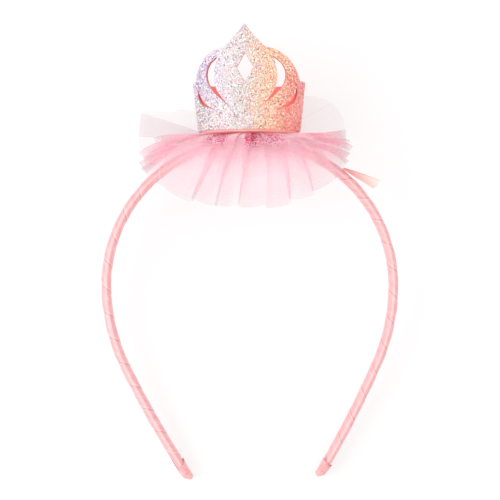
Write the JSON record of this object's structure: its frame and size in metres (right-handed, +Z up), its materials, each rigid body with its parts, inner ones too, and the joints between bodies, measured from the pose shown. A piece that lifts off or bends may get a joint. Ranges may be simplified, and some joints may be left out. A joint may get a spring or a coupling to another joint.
{
  "type": "mini crown headband",
  "caption": "Slim U-shaped headband wound with satin ribbon, carrying a small open glitter crown on a gathered net ruffle.",
  "frame": {"origin": "middle of the bounding box's underside, on the surface that the headband lies on", "axes": "+X to the right as seen from the front, +Y from the band's tips towards the crown's point, +Z up from the surface, towards the side that faces forwards when worn"},
  "size_m": [0.13, 0.193, 0.0577],
  "materials": {
    "ribbon": "satin ribbon wound round the band at a slant",
    "tip_ribbon": "satin ribbon folded over the band's ends",
    "glitter": "fabric set with fine pearly flakes",
    "lining_felt": "coral felt",
    "base_felt": "coral felt",
    "net_upper": "fine pink net, densely gathered",
    "net_middle": "fine pink net",
    "net_lower": "fine pink net, one layer",
    "net_rear": "fine pink net, one layer",
    "label_satin": "cream and pink satin, blank"
  },
  "bodies": {
    "root": {"band": "ribbon", "tip_left": "tip_ribbon", "tip_right": "tip_ribbon", "crown_base": "base_felt", "crown_lining": "lining_felt", "crown_shell": "glitter", "tulle_rear": "net_rear", "tulle_lower": "net_lower", "tulle_middle": "net_middle", "tulle_upper": "net_upper", "label": "label_satin"}
  },
  "joints": []
}
